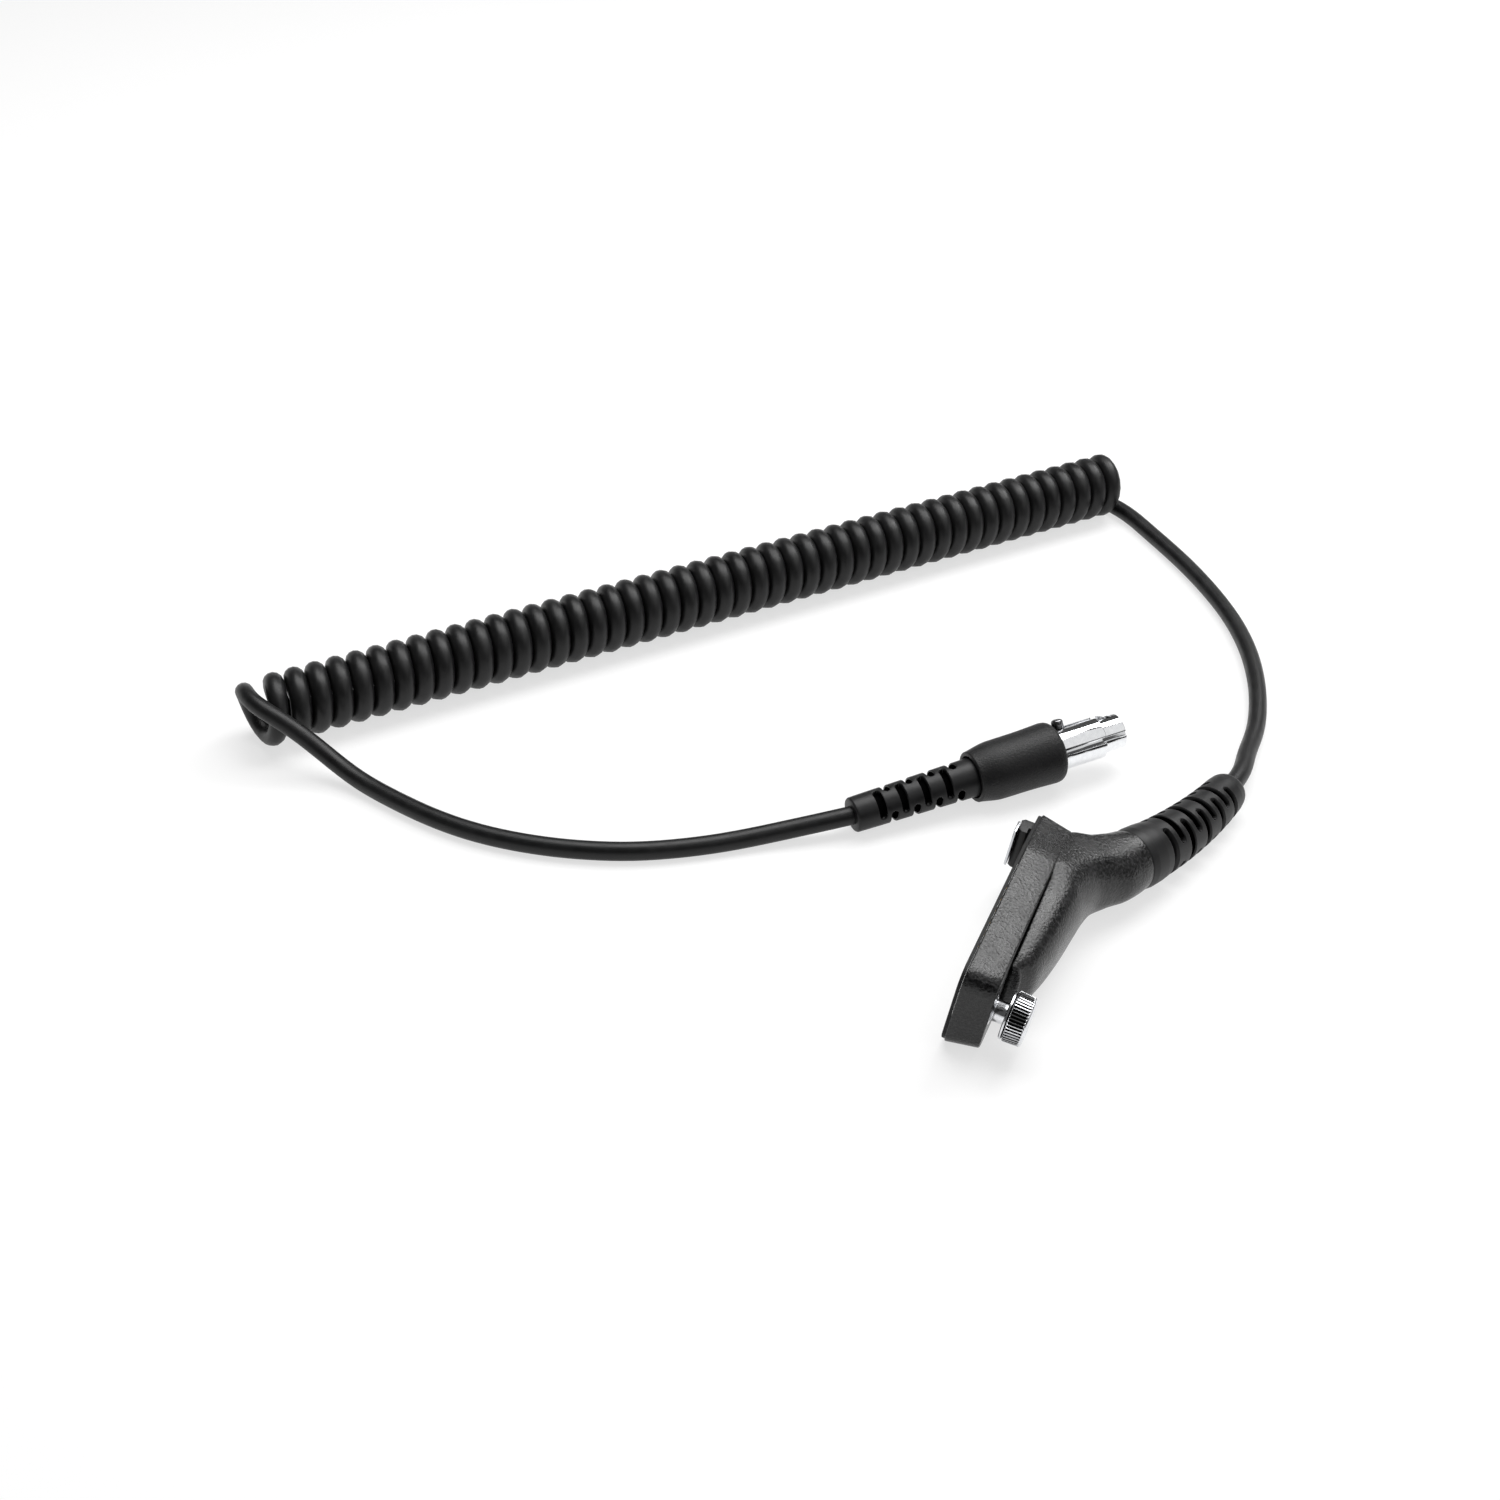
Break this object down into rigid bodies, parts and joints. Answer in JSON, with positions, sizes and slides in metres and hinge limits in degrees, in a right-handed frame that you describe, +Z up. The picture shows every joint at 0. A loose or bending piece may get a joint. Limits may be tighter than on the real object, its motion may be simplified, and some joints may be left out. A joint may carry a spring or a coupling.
{
  "type": "coiled adaptor cable",
  "caption": "Curly adaptor cable: a side connector with a hook and a captive thumbscrew at one end, a small round locking plug at the other.",
  "frame": {"origin": "on the table under the middle of the side connector's bounding box, cord and plug left out", "axes": "+Z up from the table; +Y away from the camera, along the side connector's length seen from above; +X to the right in the picture"},
  "size_m": [0.2532, 0.2384, 0.0209],
  "materials": {
    "housing_plastic": "fine spark-eroded texture",
    "cover_plastic": "satin",
    "insulator": "satin",
    "board": "satin",
    "relief_rubber": "satin rubber",
    "cord_jacket": "smooth, slightly glossy",
    "chrome_shell": "bright plated",
    "dark_chrome": "bright, with straight knurling",
    "steel": "satin",
    "gold": "gold plated",
    "brass": "plain"
  },
  "bodies": {
    "cable": {"connector_plate": "housing_plastic", "rear_housing": "housing_plastic", "mating_gasket": "relief_rubber", "contact_block": "insulator", "contact_board": "board", "hook_block": "insulator", "hook_catch": "steel", "screw_bush": "chrome_shell", "strain_relief": "relief_rubber", "cord_crimp": "brass", "curly_cord": "cord_jacket", "lead_connector": "cord_jacket", "lead_plug": "cord_jacket", "plug_boot": "relief_rubber", "plug_cover": "cover_plastic", "plug_shell": "chrome_shell", "plug_insert": "insulator", "plug_socket_1": "gold", "plug_socket_2": "gold", "plug_socket_3": "gold", "plug_socket_4": "gold", "plug_socket_5": "gold"},
    "contact_pins": {"contact_pin_1": "gold", "contact_pin_2": "gold", "contact_pin_3": "gold", "contact_pin_4": "gold", "contact_pin_5": "gold", "contact_pin_6": "gold", "contact_pin_7": "gold", "contact_pin_8": "gold", "contact_pin_9": "gold", "contact_pin_10": "gold", "contact_pin_11": "gold", "contact_pin_12": "gold"},
    "screw_carriage": {"screw_clip": "steel"},
    "thumbscrew": {"thumbscrew": "dark_chrome"},
    "latch": {"latch_tongue": "steel", "latch_button": "steel"}
  },
  "joints": [
    {"name": "contacts_press", "type": "slide", "parent": "cable", "child": "contact_pins", "axis": [0.9121, -0.3713, -0.1736], "range_m": [0, 0.0007], "stiffness_N_per_m": 300, "springref_m": -0.0005},
    {"name": "screw_in", "type": "slide", "parent": "cable", "child": "screw_carriage", "axis": [-0.9121, 0.3713, 0.1736], "range_m": [0, 0.0024]},
    {"name": "screw_turn", "type": "hinge", "parent": "screw_carriage", "child": "thumbscrew", "pos_m": [-0.02511, -0.0378, 0.009], "axis": [-0.9121, 0.3713, 0.1736], "continuous": true},
    {"name": "latch_press", "type": "hinge", "parent": "cable", "child": "latch", "pos_m": [-0.00947, 0.05328, 0.01107], "axis": [-0.3205, 0.8232, -0.4685], "range_deg": [0, 3.2], "stiffness_Nm_per_rad": 0.05, "springref_deg": -1.15}
  ]
}
